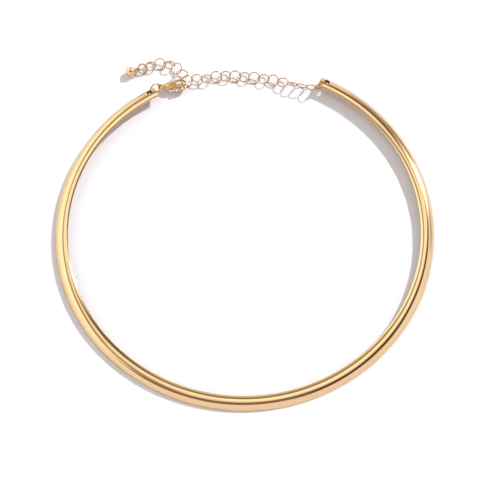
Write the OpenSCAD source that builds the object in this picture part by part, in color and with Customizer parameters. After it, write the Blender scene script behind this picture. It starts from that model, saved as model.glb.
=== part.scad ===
// Rigid open choker: a polished collar of domed section whose two ends are joined
// behind the neck by a jump ring, a lobster clasp, a link chain and a second jump ring.
// It lies as it does on a flat surface at z = 0, with the opening towards +Y.
// The origin is the centre of the neck opening, on that surface.

/* [Collar plan] */
// Radius of the front arc, to the outer lower edge
front_r = 71; // [68:0.5:74]
// Distance from the opening's centre to the front edge
front_reach = 67.6; // [66:0.1:69]
// How much smaller the right arm's radius is than the front's
right_less = 3.125; // [1.25:0.625:5]
// How much smaller the left arm's radius is than the front's
left_less = 4.375; // [1.25:0.625:5]
// Heading at which the right arm ends
right_end = 152.2; // [152:0.1:152.4]
// Heading at which the left arm ends
left_end = 155.6; // [155.4:0.1:155.8]
// Rise of the collar per millimetre towards the back
back_rise = 0.011; // [0.01:0.001:0.012]

/* [Collar section] */
// Width of the band
band_w = 5.5; // [5.4:0.05:5.6]
// Thickness of the band at its middle
band_t = 1.45; // [1.3:0.05:1.5]
// Thickness of the band at its two edges
band_edge = 0.15; // [0.1:0.05:0.3]
// Lean of the band from upright
band_lean = 66; // [65:1:67]
// Radius of the corners at the two blunt ends
corner_r = 1; // [0.6:0.1:1.4]
// Diameter of the hole in each end
hole_d = 2.15; // [2.15:0.05:2.3]
// Distance from the hole's centre to the end
hole_in = 2.6; // [2.5:0.05:2.7]

/* [Rings] */
// Wire of the two jump rings
ring_wire = 0.5; // [0.4:0.02:0.5]
// Outside diameter of the left jump ring
left_ring_od = 5; // [4.95:0.05:5.05]
// Outside diameter of the right jump ring
right_ring_od = 4.85; // [4.8:0.05:4.9]
// Wire of the ring at the chain's end
end_wire = 0.55; // [0.45:0.01:0.55]
// Outside diameter of the ring at the chain's end
end_od = 4.2; // [4.15:0.01:4.2]

/* [Chain] */
// Wire of a link
link_wire = 0.38; // [0.3:0.01:0.38]
// Inside diameter of a link
link_id = 3.86; // [3.84:0.01:3.88]

/* [Ball] */
// Diameter of the ball
ball_d = 3.6; // [3.4:0.05:3.6]
// Wire of the ball's eye
eye_wire = 0.6; // [0.5:0.05:0.6]
// Inside diameter of the ball's eye
eye_id = 1.35; // [1.35:0.05:1.4]

/* [Clasp] */
// Radius of the clasp's head
head_r = 2.6; // [2.5:0.05:2.6]
// Thickness of the clasp
clasp_t = 1.9; // [1.7:0.1:1.9]
// Diameter of the rivet that the lever turns on
rivet_d = 0.6; // [0.5:0.05:0.7]

/* [Hidden] */
$fn = 64;
slack = 0.05;
over = 1;
clasp_gold = "#d9a14a";
band_gold = "#e3b565";
chain_gold = "#c98f42";

// Collar, worked out from its plan. The front arc spans an exact sine and cosine to
// either side, so that the arms, which are tangent to it, share its end planes.
front_sin = 0.752192;
front_cos = 0.658944;
front_half = acos(front_cos);
right_r = front_r - right_less;
left_r = front_r - left_less;
lean_out = 90 - band_lean;
sagitta = band_t - band_edge;
dome_r = (band_w * band_w / 4 + sagitta * sagitta) / (2 * sagitta);
front_cy = front_r - front_reach;
tilt = atan(back_rise);
round_fn = 72;
wedge_reach = 100;
wedge_bulge = 1.6;
wedge_low = -20;
wedge_high = 60;

// Centre of an arm's arc
function arm_x(r) = (front_r - r) * front_sin;
function arm_y(r) = front_cy - (front_r - r) * front_cos;

// Placing of the two jump rings: centre, then heading, rise and roll
left_ring_at = [-30.15, 59.9, 2.9];
left_ring_turn = [38, 4, 67];
right_ring_at = [33, 57.45, 3.1];
right_ring_turn = [23, 5, 90];

// Chain, one row a link from the right ring on. Columns: heading from the joint to the
// link's centre, heading from there to the next joint, rise, roll, pitch.
IN = 0;
OUT = 1;
RISE = 2;
ROLL = 3;
PITCH = 4;
LINKS = [
    [166, 166, -4.6, 42, 3.76],
    [163, 163, -5.6, 79, 3.76],
    [163, 163, -5, 48, 3.76],
    [163, 163, -4, 14, 3.76],
    [163, 163, -2, -22, 3.76],
    [166, 166, -2, 12, 3.72],
    [171, 171, -1, -26, 3.68],
    [172, 172, 0, 5, 3.64],
    [172, 172, 0, -26, 3.64],
    [177, 177, 0, 5, 3.62],
    [187, 187, 2, -28, 3.74],
    [188, 188, 2, 20, 3.74],
    [185, 185, 4.4, -12, 3.75],
    [180, 115, 30, -29, 3.64],
    [122, 122, -13, 13, 3.58],
    [128, 128, -12, -30, 3.62],
    [159, 159, -5, 23, 3.68],
    [182, 182, -3, -22, 3.69],
    [194, 194, -2, 16, 3.69]
];
link_n = len(LINKS);
chain_start = [31.3, 56.57, 2.8];
link_r = (link_id + link_wire) / 2;

function unit(v) = v / norm(v);
function flat(heading) = [cos(heading), sin(heading), 0];
function along(heading, rise) = [cos(heading) * cos(rise), sin(heading) * cos(rise), sin(rise)];
function side_of(heading) = [-sin(heading), cos(heading), 0];
function top_of(heading, rise) =
    [-cos(heading) * sin(rise), -sin(heading) * sin(rise), cos(rise)];
// Normal of a link that rises along its mean heading and is rolled about it
function normal(heading, rise, roll) =
    cos(roll) * top_of(heading, rise) - sin(roll) * side_of(heading);
function in_plane(v, n) = unit(v - n * (v * n));
function bent(i) = LINKS[i][IN] != LINKS[i][OUT];
function mean_heading(i) = (LINKS[i][IN] + LINKS[i][OUT]) / 2;
// Direction of link i towards its centre (side = IN) or away from it (side = OUT)
function way(i, side) = bent(i)
    ? in_plane(flat(LINKS[i][side]), normal(mean_heading(i), LINKS[i][RISE], LINKS[i][ROLL]))
    : along(LINKS[i][side], LINKS[i][RISE]);
// Joint at which link i starts
function joint(i) = i == 0 ? chain_start
    : centre(i - 1) + way(i - 1, OUT) * LINKS[i - 1][PITCH] / 2;
function centre(i) = joint(i) + way(i, IN) * LINKS[i][PITCH] / 2;

// End ring, the ball's eye and the ball, each placed from the one before by a distance
// along a heading and a rise
end_step = [3.34, 200, 6];
end_turn = [191, 16, -23];
end_at = centre(link_n - 1) + end_step[0] * along(end_step[1], end_step[2]);
eye_step = [2.14, 194, 13];
eye_turn = [5, 0, -40];
eye_at = end_at + eye_step[0] * along(eye_step[1], eye_step[2]);
ball_step = [2.71, 193, 3.5];
ball_at = eye_at + ball_step[0] * along(ball_step[1], ball_step[2]);

// Clasp, drawn flat: x from its eye to its nose, y towards the fixed arm of the hook
clasp_at = [-28.05, 60.95, 2.3];
clasp_turn = [6.6, -3, -12];
head = [7.6, -0.25];
neck = [1.4, 0];
neck_r = 0.95;
clasp_eye_r = 1.2;
clasp_eye_hole = 0.65;
clasp_eye_t = 1;
shoulder = 3.4;
dome_side = 8;
room_in = [7.1, 0.75];
room_in_r = 0.95;
room_out = [8.4, 0.5];
room_out_r = 1.05;
pivot = [3.7, -0.8];
cheek_r = 1.2;
heel_r = 0.62;
gate_reach = 4.62;
gate_top = -1;
gate_swing = 20;
gate_gap = 0.08;
plate_t = 0.9;
arm_t = 1.2;
nose_t = 1.2;
rivet_short = 0.2;
tab = [5.55, -2.7];
tab_r = 0.45;
tab_root = 1.4;

function link_name(i) = str("link_", i < 9 ? "0" : "", i + 1);

// Angle off the line of centres at which a line touches two circles
function tangent_turn(a, ra, b, rb) = acos((ra - rb) / norm(b - a));
function bearing(a, b) = atan2(b[1] - a[1], b[0] - a[0]);
// Its touching point on the circle c, on the side where s is 1 or -1
function tangent_on(a, ra, b, rb, c, rc, s) =
    c + rc * [cos(bearing(a, b) + s * tangent_turn(a, ra, b, rb)),
              sin(bearing(a, b) + s * tangent_turn(a, ra, b, rb))];

// Two discs and the straight sides that touch both
module stadium(a, ra, b, rb) {
    translate(a) circle(r = ra);
    translate(b) circle(r = rb);
    polygon([
        tangent_on(a, ra, b, rb, a, ra, 1),
        tangent_on(a, ra, b, rb, b, rb, 1),
        tangent_on(a, ra, b, rb, b, rb, -1),
        tangent_on(a, ra, b, rb, a, ra, -1)
    ]);
}

// Round ring of round wire, turned to a heading, a rise and a roll
module ring(at, turn, r, wire) {
    translate(at)
        rotate([0, -turn[1], turn[0]])
            rotate([turn[2], 0, 0])
                rotate_extrude()
                    translate([r, 0])
                        circle(d = wire);
}

// Section of the band: flat behind, domed in front, laid back by its lean
module band_section(r) {
    translate([r, 0])
        rotate(90 + band_lean)
            mirror([0, 1])
                intersection() {
                    translate([band_w / 2, band_t - dome_r]) circle(r = dome_r, $fn = 128);
                    square([band_w, band_t]);
                }
}

// Whole hoop of the band about a centre in plan
module hoop(cx, cy, r) {
    translate([cx, cy, 0])
        rotate_extrude($fn = round_fn)
            band_section(r);
}

function wedge_point(cx, cy, reach, heading) =
    [cx + reach * sin(heading), cy - reach * cos(heading)];

// Room between two headings about a centre in plan
module wedge(cx, cy, from, to) {
    translate([0, 0, wedge_low])
        linear_extrude(height = wedge_high)
            polygon([
                [cx, cy],
                wedge_point(cx, cy, wedge_reach, from),
                wedge_point(cx, cy, wedge_bulge * wedge_reach, (from + to) / 2),
                wedge_point(cx, cy, wedge_reach, to)
            ]);
}

// Frame across the band at a heading: x down the band, y along it, z out of its face
module on_band(r, heading) {
    translate([arm_x(r), arm_y(r), 0])
        rotate([0, 0, heading - 90])
            translate([r, 0, 0])
                rotate([0, lean_out, 0])
                    children();
}

module corner_cut() {
    translate([0, 0, -over])
        linear_extrude(height = band_t + 2 * over)
            difference() {
                translate([-corner_r, -corner_r]) square(corner_r + over);
                translate([-corner_r, -corner_r]) circle(r = corner_r);
            }
}

// Right-hand arm of the collar; the left one is its mirror image with its own radius
module arm(r, end) {
    difference() {
        intersection() {
            hoop(arm_x(r), arm_y(r), r);
            wedge(arm_x(r), arm_y(r), front_half, end);
        }
        on_band(r, end) {
            corner_cut();
            translate([-band_w, 0, 0]) mirror([1, 0, 0]) corner_cut();
            translate([-band_w / 2, -hole_in, -over])
                cylinder(d = hole_d, h = band_t + 2 * over);
        }
    }
}

module collar() {
    color(band_gold)
        translate([0, -front_reach, 0])
            rotate([tilt, 0, 0])
                translate([0, front_reach, 0]) {
                    intersection() {
                        hoop(0, front_cy, front_r);
                        wedge(0, front_cy, -front_half, front_half);
                    }
                    arm(right_r, right_end);
                    mirror([1, 0, 0]) arm(left_r, left_end);
                }
}

module left_ring() {
    color(chain_gold)
        ring(left_ring_at, left_ring_turn, (left_ring_od - ring_wire) / 2, ring_wire);
}

module right_ring() {
    color(chain_gold)
        ring(right_ring_at, right_ring_turn, (right_ring_od - ring_wire) / 2, ring_wire);
}

// Link i of the chain, a round ring in the plane that its row gives
module link(i) {
    color(chain_gold)
        ring(centre(i), [mean_heading(i), LINKS[i][RISE], LINKS[i][ROLL]], link_r, link_wire);
}

module end_ring() {
    color(chain_gold)
        ring(end_at, end_turn, (end_od - end_wire) / 2, end_wire);
}

module ball_drop() {
    color(clasp_gold) {
        ring(eye_at, eye_turn, (eye_id + eye_wire) / 2, eye_wire);
        translate(ball_at) rotate(ball_step[1]) sphere(d = ball_d);
    }
}

module on_clasp() {
    translate(clasp_at)
        rotate([0, -clasp_turn[1], clasp_turn[0]])
            rotate([clasp_turn[2], 0, 0])
                children();
}

module slab(t) {
    translate([0, 0, -t / 2]) linear_extrude(height = t) children();
}

// Faces of the clasp: pillowed across its width, thinner towards its eye and its nose
module clasp_faces() {
    tip = head[0] + head_r;
    far = tip + over;
    intersection() {
        translate([-2 * over, head[1], clasp_t / 2 - dome_side])
            rotate([0, 90, 0]) cylinder(r = dome_side, h = far + 2 * over, $fn = 192);
        translate([-2 * over, head[1], dome_side - clasp_t / 2])
            rotate([0, 90, 0]) cylinder(r = dome_side, h = far + 2 * over, $fn = 192);
        rotate([90, 0, 0])
            translate([0, 0, -2 * head_r])
                linear_extrude(height = 4 * head_r)
                    polygon([
                        [-2 * over, -clasp_eye_t / 2],
                        [clasp_eye_r, -clasp_eye_t / 2],
                        [shoulder, -clasp_t / 2],
                        [tip, -nose_t / 2],
                        [far, -nose_t / 2],
                        [far, nose_t / 2],
                        [tip, nose_t / 2],
                        [shoulder, clasp_t / 2],
                        [clasp_eye_r, clasp_eye_t / 2],
                        [-2 * over, clasp_eye_t / 2]
                    ]);
    }
}

// Room ahead of the pivot and below a line through its heel, which is raised by turn degrees
module below(turn, grow) {
    translate(pivot)
        rotate(gate_top + turn)
            translate([-grow, heel_r + grow - 4 * head_r])
                square([4 * head_r + grow, 4 * head_r]);
}

// Everything that the lever sweeps within a distance of its pivot, from shut to open
module swept(reach) {
    intersection() {
        union() {
            below(0, gate_gap);
            below(gate_swing + 1, gate_gap);
        }
        translate(pivot) circle(r = reach);
    }
}

// What the lever sweeps outside the cheeks
module gate_room() {
    difference() {
        swept(gate_reach + 2 * slack);
        translate(pivot) circle(r = cheek_r);
    }
}

module clasp_body() {
    color(clasp_gold)
        on_clasp() {
            difference() {
                intersection() {
                    slab(clasp_t) {
                        stadium(neck, neck_r, head, head_r);
                        circle(r = clasp_eye_r);
                    }
                    clasp_faces();
                }
                slab(clasp_t + over) {
                    circle(r = clasp_eye_hole);
                    stadium(room_in, room_in_r, room_out, room_out_r);
                    gate_room();
                }
                slab(plate_t + 2 * slack) {
                    translate(pivot) circle(r = heel_r + 2 * slack);
                    swept(cheek_r + slack);
                }
            }
            translate([pivot[0], pivot[1], 0])
                cylinder(d = rivet_d, h = clasp_t - rivet_short, center = true);
        }
}

module gate_outline() {
    intersection() {
        stadium(neck, neck_r, head, head_r);
        below(0, 0);
        translate(pivot) circle(r = gate_reach);
    }
}

module clasp_lever() {
    color(chain_gold)
        on_clasp()
            difference() {
                union() {
                    slab(plate_t) {
                        translate(pivot) circle(r = heel_r);
                        gate_outline();
                        translate([tab[0] - tab_r, tab[1]]) square([2 * tab_r, tab_root]);
                        translate(tab) circle(r = tab_r);
                    }
                    slab(arm_t)
                        difference() {
                            gate_outline();
                            translate(pivot) circle(r = cheek_r + slack);
                        }
                }
                translate([pivot[0], pivot[1], 0])
                    cylinder(d = rivet_d + 2 * slack, h = clasp_t + over, center = true);
            }
}

collar();
left_ring();
clasp_body();
clasp_lever();
right_ring();
for (i = [0 : link_n - 1])
    link(i);
end_ring();
ball_drop();
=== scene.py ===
# %% [markdown]
# A polished gilt choker, dressed for its photograph
# A stiff collar of domed section lies on a white table with its opening at the back.
# A jump ring and a lobster clasp sit on its left end, a jump ring and a chain of round
# links on its right end, and a ball hangs from the chain's free tail.
# The measured model comes in first, as a frame in metres. Every surface made here goes
# exactly where that frame says, so nothing has to be fitted afterwards.

# %% Load the measured frame
import math
import bpy
import numpy as np
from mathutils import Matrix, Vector


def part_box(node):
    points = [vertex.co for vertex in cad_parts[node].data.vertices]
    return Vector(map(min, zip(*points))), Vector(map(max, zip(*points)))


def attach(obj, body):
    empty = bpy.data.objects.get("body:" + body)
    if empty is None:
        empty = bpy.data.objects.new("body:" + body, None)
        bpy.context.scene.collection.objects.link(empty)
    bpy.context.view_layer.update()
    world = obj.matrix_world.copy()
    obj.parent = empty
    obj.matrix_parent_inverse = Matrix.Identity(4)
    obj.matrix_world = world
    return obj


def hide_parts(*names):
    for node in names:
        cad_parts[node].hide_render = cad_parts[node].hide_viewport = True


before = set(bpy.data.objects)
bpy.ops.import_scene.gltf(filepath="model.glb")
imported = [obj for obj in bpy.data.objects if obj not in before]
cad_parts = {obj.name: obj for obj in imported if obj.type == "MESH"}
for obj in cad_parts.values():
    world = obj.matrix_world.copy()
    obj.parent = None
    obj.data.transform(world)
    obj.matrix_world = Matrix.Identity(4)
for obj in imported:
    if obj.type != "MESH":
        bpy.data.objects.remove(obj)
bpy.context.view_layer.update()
MM = 0.001

# %% [markdown]
# The camera stands where the photo was taken from: 69.4 degrees above the table and a
# few degrees to the left of the collar's front. A long lens from 0.62 m keeps the circle
# of the collar round, with the slight narrowing towards the back that the photo has. A
# camera could be turned by eye, but two angles and a distance are easier to match.

# %% Camera
VIEW_ABOVE = 69.41            # degrees above the table
VIEW_ASIDE = -3.67            # degrees aside from the collar's front, less than 0 on the left
VIEW_DISTANCE = 616.0 * MM
LOOKS_AT = Vector((-1.703 * MM, -2.354 * MM, 0))
WIDTH_SEEN = 177.6 * MM       # across the picture, at the place it looks at
NEAREST_SEEN = 10 * MM


def direction(aside, above):
    """Unit vector above the table by one angle, and aside from the collar's front by the
    other, both in degrees."""
    a, e = math.radians(aside), math.radians(above)
    return Vector((math.sin(a) * math.cos(e), -math.cos(a) * math.cos(e), math.sin(e)))


lens = bpy.data.cameras.new("camera")
lens.angle = 2 * math.atan(WIDTH_SEEN / 2 / VIEW_DISTANCE)
lens.clip_start = NEAREST_SEEN
camera = bpy.data.objects.new("camera", lens)
bpy.context.collection.objects.link(camera)
back = direction(VIEW_ASIDE, VIEW_ABOVE)
camera.location = LOOKS_AT + back * VIEW_DISTANCE
camera.rotation_euler = back.to_track_quat("Z", "Y").to_euler()
bpy.context.scene.camera = camera
print("lens of %.0f mm" % lens.lens)

# %% [markdown]
# Every piece below is a grid of points worked out with numpy, and one helper turns such
# a grid into a mesh. Rows that wrap round share their first and last line of quads, so
# a tube is closed along its length. The flat ends are closed with one polygon each.

# %% From a grid of points to a mesh


def grid_mesh(name, points, wrap_rows=False, wrap_columns=True, caps=False, across=None):
    """Mesh whose vertex (i, j) is points[i, j] in millimetres. Quads join neighbours, and
    wrap where asked. across gives (row, column) the distances along and over the surface
    in millimetres, kept as a UV map."""
    rows, cols = points.shape[:2]
    i = np.arange(rows if wrap_rows else rows - 1)[:, None]
    j = np.arange(cols if wrap_columns else cols - 1)[None, :]
    i2, j2 = (i + 1) % rows, (j + 1) % cols
    quads = np.stack([i * cols + j, i2 * cols + j, i2 * cols + j2, i * cols + j2], axis=-1)
    faces = quads.reshape(-1, 4).tolist()
    if caps:
        last = rows * cols - 1
        faces += [list(range(cols)), list(range(last, last - cols, -1))]
    mesh = bpy.data.meshes.new(name)
    mesh.from_pydata((points.reshape(-1, 3) * MM).tolist(), [], faces)
    mesh.update()
    if across is not None:
        corner = np.zeros(len(mesh.loops), dtype=np.int32)
        mesh.loops.foreach_get("vertex_index", corner)
        layer = mesh.uv_layers.new(name="along_across")
        places = across.reshape(-1, 2)[corner] * MM
        layer.data.foreach_set("uv", places.astype(np.float32).ravel())
    return mesh


print("one unit on these grids is", MM, "m")

# %% Faces outwards, smooth faces and crisp edges


def outwards(mesh):
    """Turns the faces outwards if the mesh's signed volume is below 0, and returns the
    volume in cubic millimetres: a sixth of the sum of a . (b x c) over its triangles."""
    mesh.calc_loop_triangles()
    tri = np.zeros(len(mesh.loop_triangles) * 3, dtype=np.int32)
    mesh.loop_triangles.foreach_get("vertices", tri)
    co = np.zeros(len(mesh.vertices) * 3, dtype=np.float32)
    mesh.vertices.foreach_get("co", co)
    a, b, c = np.moveaxis(co.reshape(-1, 3)[tri.reshape(-1, 3)], 1, 0)
    volume = (a * np.cross(b, c)).sum() / 6
    if volume < 0:
        mesh.flip_normals()
    return abs(volume) / MM ** 3


def shade(mesh, sharp_from=35):
    """Smooth shading, apart from edges where faces meet at more than sharp_from degrees."""
    mesh.shade_smooth()
    mesh.set_sharp_from_angle(angle=math.radians(sharp_from))


# %% One finished piece


def piece(name, mesh, body, node, material):
    """One finished piece: it rides on a body, stands for a node and wears a material."""
    made = bpy.data.objects.new(name, mesh)
    bpy.context.collection.objects.link(made)
    mesh.materials.clear()
    mesh.materials.append(material)
    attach(made, body)
    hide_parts(node)
    low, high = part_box(node)
    print(name, "%d faces," % len(mesh.polygons), "node's size in mm:",
          [round((b - a) / MM, 1) for a, b in zip(low, high)])
    return made


# %% [markdown]
# The metal is stainless steel with a thin coat of gold, polished to a mirror. What the
# eye sees is therefore mostly the room, tinted yellow. Three things keep it from looking
# like a computer's mirror: polishing leaves the face very slightly wavy, so that the
# bright lines waver; fine marks break the shine; and the coat's tone drifts a little
# between warmer and paler. A flat colour with one roughness would be quicker, but each
# of these pieces was made in its own way, so one recipe gives a finish for each.

# %% Colours and the helper that adds a node


def linear(hex_colour):
    """Linear colour of an sRGB hex value: below 0.04045 divided by 12.92, above it a
    power of 2.4."""
    c = np.array([int(hex_colour[k:k + 2], 16) for k in (1, 3, 5)]) / 255
    return (*np.where(c <= 0.04045, c / 12.92, ((c + 0.055) / 1.055) ** 2.4).tolist(), 1.0)


def add(tree, kind, inputs=None, **settings):
    """Adds one node. settings are its own, and inputs gives a socket a value or another
    node's output."""
    made = tree.nodes.new("ShaderNode" + kind)
    for key, value in settings.items():
        setattr(made, key, value)
    for key, value in (inputs or {}).items():
        if isinstance(value, bpy.types.NodeSocket):
            tree.links.new(value, made.inputs[key])
        else:
            made.inputs[key].default_value = value
    return made


print("middle grey is", round(linear("#808080")[0], 3), "of white's light")

# %% The recipe for gilt metal
DRIFT = 11 * MM            # the coat's tone changes over about a centimetre
WAVE = 7.0 * MM            # a buffing wheel leaves waves of several millimetres
HAIRLINE = 0.35 * MM       # real ones are finer; this is as coarse as they need to be to show
HAIRLINE_LENGTH = 12 * MM
SPECK = 2 * MM             # away from the band, the marks run in no direction
FEWEST_MARKS, MOST_MARKS = 0.35, 0.7  # the noise from one to the other spans the gloss


def gilt(name, warm, pale, gloss, wave_depth, mark_depth, by_length=False):
    """Gold-coated steel. Its tone drifts from warm to pale, its roughness follows the
    marks between the two values of gloss, and waves and marks raise it by their depths.
    by_length draws the marks out along the piece's own UV map."""
    material = bpy.data.materials.new(name)
    material.use_nodes = True
    tree = material.node_tree
    shader = tree.nodes["Principled BSDF"]
    shader.inputs["Metallic"].default_value = 1.0
    place = add(tree, "TexCoord").outputs["Object"]
    drift = add(tree, "TexNoise", {"Vector": place, "Scale": 1 / DRIFT, "Detail": 1.0})
    tone = add(tree, "Mix", {0: drift.outputs["Fac"], 6: linear(warm), 7: linear(pale)},
               data_type="RGBA")
    tree.links.new(tone.outputs[2], shader.inputs["Base Color"])
    if by_length:
        course = add(tree, "UVMap", uv_map="along_across").outputs["UV"]
        stretch = (1 / HAIRLINE_LENGTH, 1 / HAIRLINE, 1.0)
    else:
        course, stretch = place, (1 / SPECK,) * 3
    laid = add(tree, "Mapping", {"Vector": course, "Scale": stretch})
    marks = add(tree, "TexNoise", {"Vector": laid.outputs["Vector"], "Scale": 1.0,
                                   "Detail": 3.0, "Roughness": 0.6})
    rough = add(tree, "MapRange", {"Value": marks.outputs["Fac"],
                                   "From Min": FEWEST_MARKS, "From Max": MOST_MARKS,
                                   "To Min": gloss[0], "To Max": gloss[1]})
    tree.links.new(rough.outputs["Result"], shader.inputs["Roughness"])
    waves = add(tree, "TexNoise", {"Vector": place, "Scale": 1 / WAVE, "Detail": 0.0})
    raised = add(tree, "Bump", {"Height": waves.outputs["Fac"], "Strength": 1.0,
                                "Distance": wave_depth})
    marked = add(tree, "Bump", {"Height": marks.outputs["Fac"], "Strength": 1.0,
                                "Distance": mark_depth, "Normal": raised.outputs["Normal"]})
    tree.links.new(marked.outputs["Normal"], shader.inputs["Normal"])
    return material


print("hairlines of %.2f by %.0f mm" % (HAIRLINE / MM, HAIRLINE_LENGTH / MM))

# %% Five gilt finishes
# Buffed on a wheel: a mirror with hairlines along the band, whose bright lines waver.
polished_band = gilt("polished_gilt_band", "#e1c18f", "#e6c99f", gloss=(0.04, 0.08),
                     wave_depth=0.04 * MM, mark_depth=0.0010 * MM, by_length=True)
# Drawn through a die, then plated: the dullest coated faces; the deeper tone is painted shade.
wire_gilt_painted_shade = gilt("drawn_gilt_wire_painted_shade", "#b78d54", "#cba572", gloss=(0.12, 0.22),
                 wave_depth=0.02 * MM, mark_depth=0.004 * MM)
# Cast, then tumbled in a barrel of steel shot: bright, but a little softer than the band.
cast_gilt = gilt("cast_gilt_clasp", "#cfa570", "#dfbd8a", gloss=(0.06, 0.12),
                 wave_depth=0.03 * MM, mark_depth=0.001 * MM)
# Turned and buffed: a small round mirror with the whole tent in it.
polished_ball = gilt("polished_gilt_ball", "#e4c18e", "#e9cfa5", gloss=(0.05, 0.09),
                     wave_depth=0.02 * MM, mark_depth=0.0005 * MM)
# Drilled, beyond the buffing wheel: as rough as the bit left it; the brown is painted shade.
hole_wall_painted_shade = gilt("drilled_gilt_painted_shade", "#6b3d1c", "#7f4c25", gloss=(0.35, 0.50),
                    wave_depth=0.01 * MM, mark_depth=0.004 * MM)
finishes = (polished_band, wire_gilt_painted_shade, cast_gilt, polished_ball, hole_wall_painted_shade)
print("finishes:", [finish.name for finish in finishes])

# %% [markdown]
# The collar is one bar rolled to its section and bent on a former: a wide arc in front
# and two slightly tighter arms, tangent to it. It could be a curve with a bevel shape,
# but a bevelled curve turns its section freely, and this one must keep its lean of 66
# degrees all the way round. So the section is carried along the heading, row by row,
# and each row knows how far it is from the blunt end, where the corners are rounded.

# %% The collar's numbers, in millimetres and degrees
FRONT_R, FRONT_REACH = 71.0, 67.6            # the front arc's radius, and how far it reaches
RIGHT_R, LEFT_R = 71 - 3.125, 71 - 4.375     # the two arms
FRONT_SIN, FRONT_COS = 0.752192, 0.658944    # of the heading where the arms begin
RIGHT_END, LEFT_END = 152.2, 155.6           # headings of the blunt ends, from the front
BAND_W, BAND_T, BAND_EDGE = 5.5, 1.45, 0.15  # width, thickness at the crest and at an edge
BAND_LEAN = math.radians(66)                 # how far the flat back leans over from upright
TILT = math.atan(0.011)                      # the whole collar rises a little to its ends
CORNER_R = 1.0                               # of the blunt ends, seen on the band's face
HOLE_R, HOLE_IN = 2.15 / 2, 2.6              # the holes, and their distance from the ends
SAG = BAND_T - BAND_EDGE
DOME_R = (BAND_W ** 2 / 4 + SAG ** 2) / (2 * SAG)
LIP = 0.07                                   # radius that polishing leaves on every edge
print("the dome is part of a circle of %.2f mm" % DOME_R)

# %% The section of the bar
DOME_COLUMNS = 45
LIP_TURN = np.radians([20, 45, 70])   # places round the quarter circle of a lip
LIP_DROP = 0.6                        # how far a top lip falls below the dome, in radii of LIP
# parts of the way back along the underside, close together beside the lips
UNDERSIDE = np.array([0.0, 0.01, 0.03, 0.5, 0.97, 0.99, 1.0])


def dome(u):
    """Height of the dome above the flat back, at u across the band: a circle of radius
    DOME_R about its middle."""
    return np.sqrt(DOME_R ** 2 - (u - BAND_W / 2) ** 2) - (DOME_R - BAND_T)


def round_in(d, r):
    """How far a corner of radius r draws the outline in, at distance d from the end:
    r - sqrt(r2 - (r - d)2)."""
    d = np.clip(d, 0, r)
    return r - np.sqrt(np.maximum(r * r - (r - d) ** 2, 0))


def band_section(draw_in, shrink):
    """Outline of the section for rows whose sides are drawn in by draw_in and whose skin
    by shrink: over the dome from the outer edge to the inner one, down the inner edge,
    back along the flat underside and up the outer edge, with a lip at each turn."""
    sine, cosine = np.sin(LIP_TURN), np.cos(LIP_TURN)
    low, high = draw_in + LIP, BAND_W - draw_in - LIP
    over = low + (high - low) * (0.5 - 0.5 * np.cos(np.linspace(0, np.pi, DOME_COLUMNS)))
    top = dome(over) - shrink
    edge = dome(draw_in) - shrink
    wall_top = np.maximum(edge - LIP_DROP * LIP, shrink + LIP)
    strips = [
        (over, top),
        (high + LIP * sine, wall_top + (top[:, -1:] - wall_top) * cosine),
        (high + LIP, wall_top),
        (high + LIP * cosine, shrink + LIP * (1 - sine)),
        (high + (low - high) * UNDERSIDE, shrink + 0 * UNDERSIDE),
        (low - LIP * sine, shrink + LIP * (1 - cosine)),
        (low - LIP, wall_top),
        (low - LIP * cosine, wall_top + (top[:, :1] - wall_top) * sine),
    ]
    u, v = (np.concatenate(parts, axis=1) for parts in zip(*strips))
    return u, v


print("the crest is at", round(float(dome(BAND_W / 2)), 2), "mm, an edge at",
      round(float(dome(0.0)), 2), "mm")

# %% The way round the collar


def on_collar(heading, u, v):
    """Place of a point at a heading round the collar, u across its band and v out of its
    face: the arc's centre and radius depend on the heading, the band leans, and the whole
    is tilted up towards the back."""
    side = np.where(heading < 0, -1.0, 1.0)
    h = np.radians(np.abs(heading))
    in_front = np.abs(heading) < math.degrees(math.acos(FRONT_COS))
    radius = np.where(in_front, FRONT_R, np.where(heading > 0, RIGHT_R, LEFT_R))
    cx = (FRONT_R - radius) * FRONT_SIN
    cy = (FRONT_R - FRONT_REACH) - (FRONT_R - radius) * FRONT_COS
    inward = u * math.sin(BAND_LEAN) - v * math.cos(BAND_LEAN)
    up = u * math.cos(BAND_LEAN) + v * math.sin(BAND_LEAN)
    x = side * (cx + (radius - inward) * np.sin(h))
    y = cy - (radius - inward) * np.cos(h) + FRONT_REACH
    return np.stack([x, y * math.cos(TILT) - up * math.sin(TILT) - FRONT_REACH,
                     y * math.sin(TILT) + up * math.cos(TILT)], axis=-1)


front_edge = on_collar(np.array(0.0), np.array(0.0), np.array(0.0))
print("the outer edge in front is at", front_edge.round(2).tolist())

# %% Carry the section round
EVEN_ROWS = 420
CLEAR_OF_END = 1.3   # mm from an end, where the even rows begin
# distances from a blunt end in mm, closest together where its edge and corners turn
END_ROWS = np.array([0, 0.004, 0.012, 0.025, 0.045, 0.07, 0.1, 0.15,
                     0.22, 0.3, 0.4, 0.52, 0.66, 0.8, 0.95, 1.1])
per_degree = math.radians(1) * (FRONT_R - BAND_W / 2)   # mm of the front per degree
even_rows = np.linspace(-LEFT_END + CLEAR_OF_END / per_degree,
                        RIGHT_END - CLEAR_OF_END / per_degree, EVEN_ROWS)
heading = np.concatenate([-LEFT_END + END_ROWS / per_degree, even_rows,
                          (RIGHT_END - END_ROWS / per_degree)[::-1]])[:, None]
arm_scale = np.where(heading > 0, RIGHT_R, LEFT_R) / FRONT_R
from_end = np.minimum(heading + LEFT_END, RIGHT_END - heading) * per_degree * arm_scale
shrink = round_in(from_end, LIP)
u, v = band_section(round_in(from_end, CORNER_R) + shrink, shrink)
along = heading * per_degree + 0 * u
collar_mesh = grid_mesh("collar_band", on_collar(heading + 0 * u, u, v), caps=True,
                        across=np.stack([along, u], axis=-1))
print("collar before drilling: %.0f cubic mm" % outwards(collar_mesh))
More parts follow.
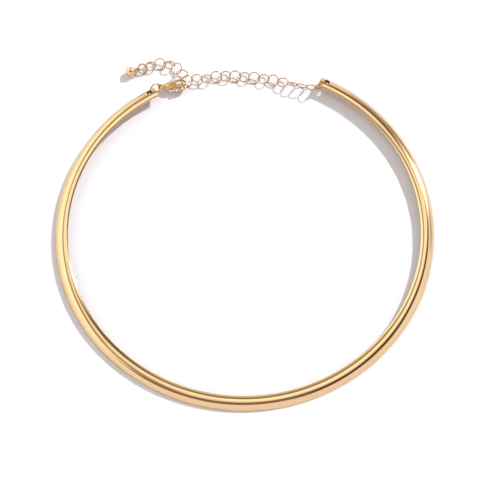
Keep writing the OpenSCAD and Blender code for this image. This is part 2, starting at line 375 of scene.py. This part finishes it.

# %% [markdown]
# A hole is drilled near each end for the jump rings. The drill is a plain tube of points
# laid along the band's own normal, and a boolean takes it out of the bar. The exact
# solver keeps the band's fine rows as they are and adds only the rim. The buffing wheel
# never reaches into the holes, so their walls stay rough; their dark brown is painted shade.

# %% The drill
DRILL_SIDES = 48
DRILL_HEIGHTS = np.array([-1.0, 0.5, 2.5])   # from behind the band to well above it


def drill(heading):
    """Closed cylinder of points about the band's normal at HOLE_IN from the end: a circle
    at three heights."""
    radius = RIGHT_R if heading > 0 else LEFT_R
    turn = np.linspace(0, 2 * np.pi, DRILL_SIDES, endpoint=False)
    back_by = HOLE_IN / (math.radians(1) * (radius - BAND_W / 2))
    at = heading - math.copysign(back_by, heading)
    middle = on_collar(np.array(at), np.array(BAND_W / 2), np.array(0.0))
    out = on_collar(np.array(at), np.array(BAND_W / 2), np.array(1.0)) - middle
    over = on_collar(np.array(at), np.array(BAND_W / 2 + 1), np.array(0.0)) - middle
    aside = np.cross(out, over)
    circle = HOLE_R * (np.cos(turn)[:, None] * over + np.sin(turn)[:, None] * aside)
    return middle + DRILL_HEIGHTS[:, None, None] * out + circle


print("holes of %.2f mm, %.1f mm from the ends" % (2 * HOLE_R, HOLE_IN))

# %% Drill the two holes
collar_mesh.materials.append(polished_band)
collar = bpy.data.objects.new("collar_band", collar_mesh)
bpy.context.collection.objects.link(collar)
for end in (-LEFT_END, RIGHT_END):
    bit_mesh = grid_mesh("drill_bit", drill(end), caps=True)
    # the holes' walls wear dark brown painted shade
    bit_mesh.materials.append(hole_wall_painted_shade)
    outwards(bit_mesh)
    bit = bpy.data.objects.new("drill_bit", bit_mesh)
    bpy.context.collection.objects.link(bit)
    cut = collar.modifiers.new("drill", "BOOLEAN")
    cut.operation, cut.solver, cut.object = "DIFFERENCE", "EXACT", bit
    cut.material_mode = "TRANSFER"
    depsgraph = bpy.context.evaluated_depsgraph_get()
    drilled = bpy.data.meshes.new_from_object(collar.evaluated_get(depsgraph))
    collar.modifiers.clear()
    collar.data = drilled
    bpy.data.objects.remove(bit)
print("collar after drilling: %.0f cubic mm" % outwards(collar.data))
shade(collar.data)
print("its finishes:", [finish.name for finish in collar.data.materials])
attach(collar, "choker")
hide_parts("collar")

# %% [markdown]
# Rings and links are bent from drawn wire and closed, the links with a soldered joint
# and the jump rings with a plain cut that is opened with two pliers. A ready-made torus
# would have neither. So each is a circle of wire carried round a circle: where it is
# cut, the wire stops a hair short and both ends are flat, and where it is soldered, the
# wire swells a little.

# %% Wire bent into a ring
SOLDER_WIDTH = 0.8   # of the swelling at a soldered joint, in thicknesses of the wire


def turned(heading, rise, roll):
    """Three axes of a ring: its own x at a heading and a rise, then both others rolled
    about that x. All three angles are in degrees."""
    h, s, r = map(math.radians, (heading, rise, roll))
    x = np.array([math.cos(h) * math.cos(s), math.sin(h) * math.cos(s), math.sin(s)])
    y = np.array([-math.sin(h), math.cos(h), 0.0])
    z = np.cross(x, y)
    return np.array([x, math.cos(r) * y + math.sin(r) * z, -math.sin(r) * y + math.cos(r) * z])


def wire_ring(name, at, axes, radius, wire, cut=0.0, closed_at=0.0, swell=0.0,
              steps=64, sides=16):
    """Circle of the wire's radius carried round a circle of the ring's radius. The ends
    of the wire meet at the angle closed_at: cut leaves a gap that wide, and swell
    thickens the wire there by that part of it."""
    half_gap = cut / 2 / radius
    turn = (np.linspace(half_gap, 2 * np.pi - half_gap, steps, endpoint=cut > 0))[:, None]
    round_wire = np.linspace(0, 2 * np.pi, sides, endpoint=False)[None, :]
    away = np.abs((turn + np.pi) % (2 * np.pi) - np.pi) * radius / wire
    thick = wire / 2 * (1 + swell * np.exp(-(away / SOLDER_WIDTH) ** 2))
    from_axis = radius + thick * np.cos(round_wire)
    flat = np.stack([from_axis * np.cos(turn + closed_at), from_axis * np.sin(turn + closed_at),
                     thick * np.sin(round_wire) + 0 * turn], axis=-1)
    mesh = grid_mesh(name, np.asarray(at) + flat @ axes, wrap_rows=cut == 0, caps=cut > 0)
    outwards(mesh)
    shade(mesh, 60)
    return mesh


# %% The two jump rings
JUMP_WIRE, CUT = 0.5, 0.05
LEFT_RING_R, LEFT_RING_AT = 2.25, (-30.15, 59.9, 2.9)
RIGHT_RING_R, RIGHT_RING_AT = 2.175, (33, 57.45, 3.1)
left_ring = wire_ring("left_jump_ring", LEFT_RING_AT, turned(38, 4, 67), LEFT_RING_R,
                      JUMP_WIRE, cut=CUT, closed_at=2.4)
right_ring = wire_ring("right_jump_ring", RIGHT_RING_AT, turned(23, 5, 90), RIGHT_RING_R,
                       JUMP_WIRE, cut=CUT, closed_at=1.2)
piece("left_jump_ring", left_ring, "choker", "left_ring", wire_gilt_painted_shade)
piece("right_jump_ring", right_ring, "choker", "right_ring", wire_gilt_painted_shade)

# %% [markdown]
# The chain lies in a shallow curve from the right ring to the clasp and on past it as a
# free tail. Each link leans on the next one, so they lie rolled to alternate sides. A
# simulation could drop a chain, but never into the lay of the photo. So the list repeats
# that lay: the heading in and out of a link, its rise, its roll and the distance between
# its two joints. Only the link inside the clasp turns a corner.

# %% The lay of the links
LINK_R, LINK_WIRE = (3.86 + 0.38) / 2, 0.38
CHAIN_START = np.array([31.3, 56.57, 2.8])
SOLDER = 0.12        # a soldered joint is thicker than the wire by that part of it
# heading in, heading out, rise, roll, pitch
LINKS = [
    (166, 166, -4.6, 42, 3.76), (163, 163, -5.6, 79, 3.76), (163, 163, -5, 48, 3.76),
    (163, 163, -4, 14, 3.76), (163, 163, -2, -22, 3.76), (166, 166, -2, 12, 3.72),
    (171, 171, -1, -26, 3.68), (172, 172, 0, 5, 3.64), (172, 172, 0, -26, 3.64),
    (177, 177, 0, 5, 3.62), (187, 187, 2, -28, 3.74), (188, 188, 2, 20, 3.74),
    (185, 185, 4.4, -12, 3.75), (180, 115, 30, -29, 3.64), (122, 122, -13, 13, 3.58),
    (128, 128, -12, -30, 3.62), (159, 159, -5, 23, 3.68), (182, 182, -3, -22, 3.69),
    (194, 194, -2, 16, 3.69),
]
print("links:", len(LINKS), "of %.2f mm outside" % (2 * LINK_R + LINK_WIRE))

# %% Lay link after link


def heading_in(axes, heading):
    """Unit vector at a heading, laid into the plane of a link: the flat one less its part
    along the normal."""
    flat = np.array([math.cos(math.radians(heading)), math.sin(math.radians(heading)), 0.0])
    laid = flat - axes[2] * (flat @ axes[2])
    return laid / np.linalg.norm(laid)


joint = CHAIN_START
for k, (into, out, rise, roll, pitch) in enumerate(LINKS):
    axes = turned((into + out) / 2, rise, roll)
    way_in = axes[0] if into == out else heading_in(axes, into)
    way_out = axes[0] if into == out else heading_in(axes, out)
    middle = joint + way_in * pitch / 2
    joint = middle + way_out * pitch / 2
    node = "link_%02d" % (k + 1)
    solder_at = math.pi / 2 if k % 2 else -math.pi / 2
    mesh = wire_ring("chain_" + node, middle, axes, LINK_R, LINK_WIRE, closed_at=solder_at,
                     swell=SOLDER, steps=56, sides=12)
    piece("chain_" + node, mesh, "choker", node, wire_gilt_painted_shade)
last_link = middle

# %% [markdown]
# The tail ends in a thicker ring, and from it hangs a ball with a small eye. The ball is
# turned on a lathe, so it is a profile spun about the line from the eye to its centre:
# a full circle, with a short soldered neck where it meets the eye.

# %% The tail's ring
LINK_TO_RING, RING_TO_EYE, EYE_TO_BALL = 3.34, 2.14, 2.71   # from middle to middle
TAIL_WIRE, TAIL_OUTSIDE = 0.55, 4.2
EYE_WIRE, EYE_INSIDE = 0.6, 1.35


def towards(heading, rise):
    """Unit vector at a heading and a rise, in degrees."""
    h, s = math.radians(heading), math.radians(rise)
    return np.array([math.cos(h) * math.cos(s), math.sin(h) * math.cos(s), math.sin(s)])


end_at = last_link + LINK_TO_RING * towards(200, 6)
eye_at = end_at + RING_TO_EYE * towards(194, 13)
ball_at = eye_at + EYE_TO_BALL * towards(193, 3.5)
end_ring = wire_ring("tail_ring", end_at, turned(191, 16, -23), (TAIL_OUTSIDE - TAIL_WIRE) / 2,
                     TAIL_WIRE, cut=CUT, closed_at=1.9)
piece("tail_ring", end_ring, "choker", "end_ring", wire_gilt_painted_shade)

# %% The ball's profile, and the lathe
BALL_R = 1.8
NECK_R = 0.42
NECK = np.array([[1.80, NECK_R * 0.93], [1.90, NECK_R * 0.9], [2.02, NECK_R * 0.9]])
POLE, NECK_BEGINS = 0.4, 180 - 13   # degrees round the ball, from its far side to the neck


def spun(name, centre, axis, profile, steps=64):
    """Profile of (distance along the axis, radius) spun about the axis through a centre."""
    aside = np.cross(axis, (0, 0, 1.0))
    aside /= np.linalg.norm(aside)
    other = np.cross(axis, aside)
    turn = np.linspace(0, 2 * np.pi, steps, endpoint=False)[None, :, None]
    t, r = profile[:, 0, None, None], profile[:, 1, None, None]
    circles = r * (np.cos(turn) * aside + np.sin(turn) * other)
    return grid_mesh(name, centre + t * axis + circles, caps=True)


angle = np.radians(np.linspace(POLE, NECK_BEGINS, 60))
ball_line = np.stack([-BALL_R * np.cos(angle), BALL_R * np.sin(angle)], axis=-1)
to_eye = (eye_at - ball_at) / np.linalg.norm(eye_at - ball_at)
ball_mesh = spun("ball", ball_at, to_eye, np.concatenate([ball_line, NECK]))
print("ball: %.1f cubic mm" % outwards(ball_mesh))
shade(ball_mesh, 50)

# %% The ball and its eye, one piece
eye_mesh = wire_ring("eye", eye_at, turned(5, 0, -40), (EYE_INSIDE + EYE_WIRE) / 2, EYE_WIRE)
ball = piece("ball_and_eye", ball_mesh, "choker", "ball_drop", polished_ball)
eye = bpy.data.objects.new("eye", eye_mesh)
bpy.context.collection.objects.link(eye)
eye_mesh.materials.append(wire_gilt_painted_shade)
with bpy.context.temp_override(active_object=ball, object=ball, selected_objects=[ball, eye],
                               selected_editable_objects=[ball, eye]):
    bpy.ops.object.join()
print("ball and eye joined:", len(ball.data.polygons), "faces")

# %% [markdown]
# The clasp and its lever are cast: the measured solids already have the right outline,
# hook, eye, hinge and thumb tab, but flat faces and edges as sharp as cut. A wax for such
# a casting is carved round, and tumbling in a barrel of steel shot wears it further. The
# same happens here. A copy of each solid is rebuilt from tiny cells. Its faces are then
# lowered towards every edge as a quarter circle falls, also towards the seam between
# the hook and the lever and towards the slot for the spring. Only the cheeks beside the
# lever's hinge keep their slot at its full width. At last the points are drawn towards
# their neighbours a few times, which wears the edges.

# %% The castings' numbers, in millimetres
CLASP_AT = np.array([-28.05, 60.95, 2.3])
CLASP_AXES = turned(6.6, -3, -12)
# Outlines in the clasp's own plane: a disc, a second disc, and all that lies between.
BODY = ((1.4, 0), 0.95, (7.6, -0.25), 2.6)
BOSS = ((0, 0), 1.2, (0, 0), 1.2)
ROOM_IN_HOOK = ((7.1, 0.75), 0.95, (8.4, 0.5), 1.05)
EYE_HOLE = ((0, 0), 0.65, (0, 0), 0.65)
SPRING_SLOT = ((2.0, -0.62), 0.02, (5.1, -1.85), 0.12)
EYE_RIM, SLOT_RIM = 0.3, 0.15      # added to the distance from these two, to round them less
ROUNDING, LEAST = 1.0, 0.50        # how far in an edge is rounded, and the part left at it
PIVOT, HEEL_R = np.array([3.7, -0.8]), 0.62
SEAM_TURN = math.radians(-1)       # the seam between hook and lever, from the clasp's own x
CHEEK_R, CHEEK_FADE = 1.2, 0.4     # round the pivot, and the ring outside it that blends in
CHEEK_KEPT = 0.62                  # height over the middle plane that the slot needs there
print("the clasp's x points along", CLASP_AXES[0].round(3).tolist())

# %% Carve a casting


def deep_in(points, a, ra, b, rb):
    """Depth of points inside two discs and what lies between them: the most of
    r - distance for the discs on the line from a to b, whose radius goes from ra to rb."""
    t = np.linspace(0, 1, 25)[:, None, None]
    middle = (1 - t) * np.array(a) + t * np.array(b)
    radius = (1 - t[..., 0]) * ra + t[..., 0] * rb
    return (radius - np.linalg.norm(points[None] - middle, axis=-1)).max(axis=0)


def carved(points, cheek):
    """Points of the clasp in millimetres, with their height over its middle plane scaled
    by LEAST + (1 - LEAST) sqrt(1 - (1 - e)2), where e is the distance to the nearest edge
    as a part of ROUNDING. Round the pivot no height below cheek is changed, so that the
    slot in which the lever turns stays as wide."""
    own = (points - CLASP_AT) @ CLASP_AXES.T
    flat = own[:, :2]
    outline = np.maximum(deep_in(flat, *BODY), deep_in(flat, *BOSS))
    room = -deep_in(flat, *ROOM_IN_HOOK)
    eye = -deep_in(flat, *EYE_HOLE) + EYE_RIM
    slot = -deep_in(flat, *SPRING_SLOT) + SLOT_RIM
    across_seam = np.array([-math.sin(SEAM_TURN), math.cos(SEAM_TURN)])
    over_seam = (flat - PIVOT) @ across_seam - HEEL_R
    seam = np.abs(over_seam) + np.maximum(PIVOT[0] + CHEEK_R - flat[:, 0], 0)
    e = np.clip(np.min([outline, room, eye, seam, slot], axis=0) / ROUNDING, 0, 1)
    height = np.abs(own[:, 2])
    lowered = height * (LEAST + (1 - LEAST) * np.sqrt(1 - (1 - e) ** 2))
    inside_cheek = CHEEK_R + CHEEK_FADE - np.linalg.norm(flat - PIVOT, axis=-1)
    near_pivot = np.clip(inside_cheek / CHEEK_FADE, 0, 1)
    kept = np.maximum(lowered, np.minimum(height, cheek * near_pivot))
    own[:, 2] = np.sign(own[:, 2]) * kept
    return CLASP_AT + own @ CLASP_AXES


middle_of_body = np.array([CLASP_AT + np.array([5.0, 0.0, 1.0]) @ CLASP_AXES])
lowered_by = np.linalg.norm(carved(middle_of_body, 0.0) - middle_of_body)
print("a point 1 mm above the middle of the clasp is lowered by %.2f mm" % lowered_by)

# %% Tumble both castings
CELL = 0.055 * MM
MERGED_WITHIN = 0.001 * MM
BODY_PASSES, LEVER_PASSES = 14, 12


def shape_now(made):
    """The object's mesh with its modifiers applied."""
    depsgraph = bpy.context.evaluated_depsgraph_get()
    return bpy.data.meshes.new_from_object(made.evaluated_get(depsgraph))


def tumbled(name, node, body, passes, cheek=0.0):
    """Copy of a node, merged, rebuilt from cells of CELL, carved round and relaxed by a
    number of passes."""
    copy = bpy.data.objects.new(name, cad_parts[node].data.copy())
    bpy.context.collection.objects.link(copy)
    copy.modifiers.new("merge", "WELD").merge_threshold = MERGED_WITHIN
    cells = copy.modifiers.new("cells", "REMESH")
    cells.mode, cells.voxel_size, cells.use_smooth_shade = "VOXEL", CELL, True
    copy.data = shape_now(copy)
    copy.modifiers.clear()
    places = np.zeros(len(copy.data.vertices) * 3, dtype=np.float32)
    copy.data.vertices.foreach_get("co", places)
    places = carved(places.reshape(-1, 3) / MM, cheek) * MM
    copy.data.vertices.foreach_set("co", places.astype(np.float32).ravel())
    worn = copy.modifiers.new("worn", "SMOOTH")
    worn.factor, worn.iterations = 0.5, passes
    mesh = shape_now(copy)
    bpy.data.objects.remove(copy)
    mesh.name = name
    mesh.shade_smooth()
    print(name, "%.1f cubic mm" % outwards(mesh))
    return piece(name, mesh, body, node, cast_gilt)


tumbled("clasp_casting", "clasp_body", "choker", BODY_PASSES, cheek=CHEEK_KEPT)
tumbled("clasp_gate", "clasp_lever", "lever", LEVER_PASSES)

# %% [markdown]
# The table is a plain sheet of matt paper, far larger than the view. The photo bleaches
# it to white, yet the lower half of the band mirrors it as a calm, darker gold. A white
# sheet can't give both. So the sheet is light grey, with hardly any gloss and a trace of
# cloudiness, and the exposure that is set with the light does the bleaching.

# %% Table
TABLE_REACH = 1.6    # metres to each side
CLOUD = 90 * MM
corners = np.array([[[-1, -1, 0], [-1, 1, 0]], [[1, -1, 0], [1, 1, 0]]]) * (TABLE_REACH / MM)
table_mesh = grid_mesh("white_table", corners, wrap_columns=False)
table = bpy.data.objects.new("white_table", table_mesh)
bpy.context.collection.objects.link(table)
if table_mesh.polygons[0].normal.z < 0:
    table_mesh.flip_normals()
print("table: %.1f m across" % table.dimensions.x)

# %% The sheet's finish
matt_sheet = bpy.data.materials.new("matt_white_sheet")
matt_sheet.use_nodes = True
sheet_tree = matt_sheet.node_tree
sheet_shader = sheet_tree.nodes["Principled BSDF"]
sheet_shader.inputs["Roughness"].default_value = 0.50
sheet_shader.inputs["Specular IOR Level"].default_value = 0.04
sheet_place = add(sheet_tree, "TexCoord").outputs["Object"]
clouds = add(sheet_tree, "TexNoise", {"Vector": sheet_place, "Scale": 1 / CLOUD, "Detail": 2.0})
sheet_tone = add(sheet_tree, "Mix", {0: clouds.outputs["Fac"], 6: linear("#d8d5d6"),
                                     7: linear("#dbd7d9")}, data_type="RGBA")
sheet_tree.links.new(sheet_tone.outputs[2], sheet_shader.inputs["Base Color"])
table_mesh.materials.append(matt_sheet)
print("the table wears", table_mesh.materials[0].name)

# %% [markdown]
# Light makes polished gold. The photo was taken in a pale tent. Its walls give the wide
# peach and yellow areas, and the left one is brightest near its top. A window at the
# right and behind gives the white glint there, between dark corners that draw the brown
# lines beside it. A lamp in that window casts the one clear shadow, an opening overhead
# gives the bright stripe along the crest, and the darker roof round the camera gives the
# brown lines along the band. The tent could be built from panels, but a sky painted with
# soft-edged patches is simpler: it never stands in the way and has no parallax to tune.

# %% The tent as a sky
sky = bpy.data.worlds.new("tent")
bpy.context.scene.world = sky
sky.use_nodes = True
tent = sky.node_tree
tent.nodes.clear()
where = add(tent, "TexCoord").outputs["Generated"]


def dot(axis, scale):
    """Socket with the part of the sky's direction along an axis, divided by a scale."""
    along = {0: where, 1: tuple(axis / scale)}
    return add(tent, "VectorMath", along, operation="DOT_PRODUCT").outputs["Value"]


def patch(under, aside, above, half_width, half_height, soft, colour):
    """Ellipse of the sky painted over what lies under it. Its centre is given by two
    angles from the camera's side, its half width and height are angles too, and soft is
    the part of it over which its edge fades."""
    centre = direction(aside + VIEW_ASIDE, above)
    level = direction(aside + VIEW_ASIDE + 90, 0)
    upright = centre.cross(level)
    x = dot(level, math.sin(math.radians(half_width)))
    y = dot(upright, math.sin(math.radians(half_height)))
    ahead = add(tent, "MapRange", {"Value": dot(centre, 1.0), "From Min": 0.0,
                                   "From Max": 0.05}).outputs["Result"]
    off = add(tent, "VectorMath", {0: add(tent, "CombineXYZ", {0: x, 1: y}).outputs[0]},
              operation="LENGTH").outputs["Value"]
    inside = add(tent, "MapRange", {"Value": off, "From Min": 1 + soft, "From Max": 1 - soft},
                 interpolation_type="SMOOTHSTEP").outputs["Result"]
    mask = add(tent, "Math", {0: inside, 1: ahead}, operation="MULTIPLY").outputs[0]
    return add(tent, "Mix", {0: mask, 6: under, 7: colour}, data_type="RGBA").outputs[2]


print("the camera's side is towards", direction(VIEW_ASIDE, 0).to_tuple(3))

# %% The parts of the tent, each painted over those before it
WALL = (0.92, 0.85, 0.94, 1.0)
# aside, above, half width, half height, softness, colour of the light
TENT_PARTS = {
    "left wall": (-103, 33, 48, 28, 0.30, (1.08, 1.11, 1.05, 1)),
    "left wall's top": (-122, 43, 30, 20, 0.30, (1.22, 1.31, 1.30, 1)),
    "right wall": (86, 14, 25, 22, 0.30, (0.96, 0.95, 0.93, 1)),
    "wall behind": (180, 36, 21, 16, 0.30, (0.76, 0.69, 0.62, 1)),
    "roof by the camera": (9, 61, 44, 14.5, 0.20, (0.25, 0.18, 0.11, 1)),
    "roof on the right": (77, 54, 35, 12, 0.25, (0.11, 0.07, 0.04, 1)),
    "roof behind": (177, 57, 19, 12, 0.30, (0.29, 0.23, 0.15, 1)),
    "roof on the left": (-125, 68.5, 24, 5, 0.30, (0.44, 0.37, 0.21, 1)),
    "roof in front on the left": (-60, 67, 12, 8, 0.30, (0.36, 0.29, 0.19, 1)),
    "dim corner": (110, 2, 7, 14, 0.30, (0.37, 0.33, 0.32, 1)),
    "dark corner's foot": (138, 4, 7, 14, 0.40, (0.15, 0.13, 0.15, 1)),
    "dark corner": (148, 24, 8, 18, 0.40, (0.42, 0.37, 0.36, 1)),
    "dark corner's top": (155, 48, 7, 9, 0.30, (0.14, 0.10, 0.06, 1)),
    "opening overhead": (150, 78, 13, 13, 0.30, (1.12, 1.20, 1.12, 1)),
    "slit above the window": (137, 55, 6, 14, 0.40, (1.10, 1.15, 1.15, 1)),
    "window": (124.5, 20, 7.0, 19, 0.30, (1.50, 1.62, 1.95, 1)),
    "lamp": (132.5, 38, 1.7, 1.7, 0.20, (984.0, 1047.0, 1089.0, 1)),
}
wall_light = add(tent, "RGB")
wall_light.outputs[0].default_value = WALL
paint = wall_light.outputs[0]
for part in TENT_PARTS.values():
    paint = patch(paint, *part)
print("patches of sky:", len(TENT_PARTS))

# %% Exposure
# A long exposure bleaches the light grey table, while the metal's picture of it stays gold.
EXPOSURE = 1.22
shining = add(tent, "Background", {"Color": paint, "Strength": EXPOSURE})
add(tent, "OutputWorld", {"Surface": shining.outputs[0]})
bpy.context.scene.view_settings.view_transform = "Standard"
print("nodes in the sky:", len(tent.nodes))
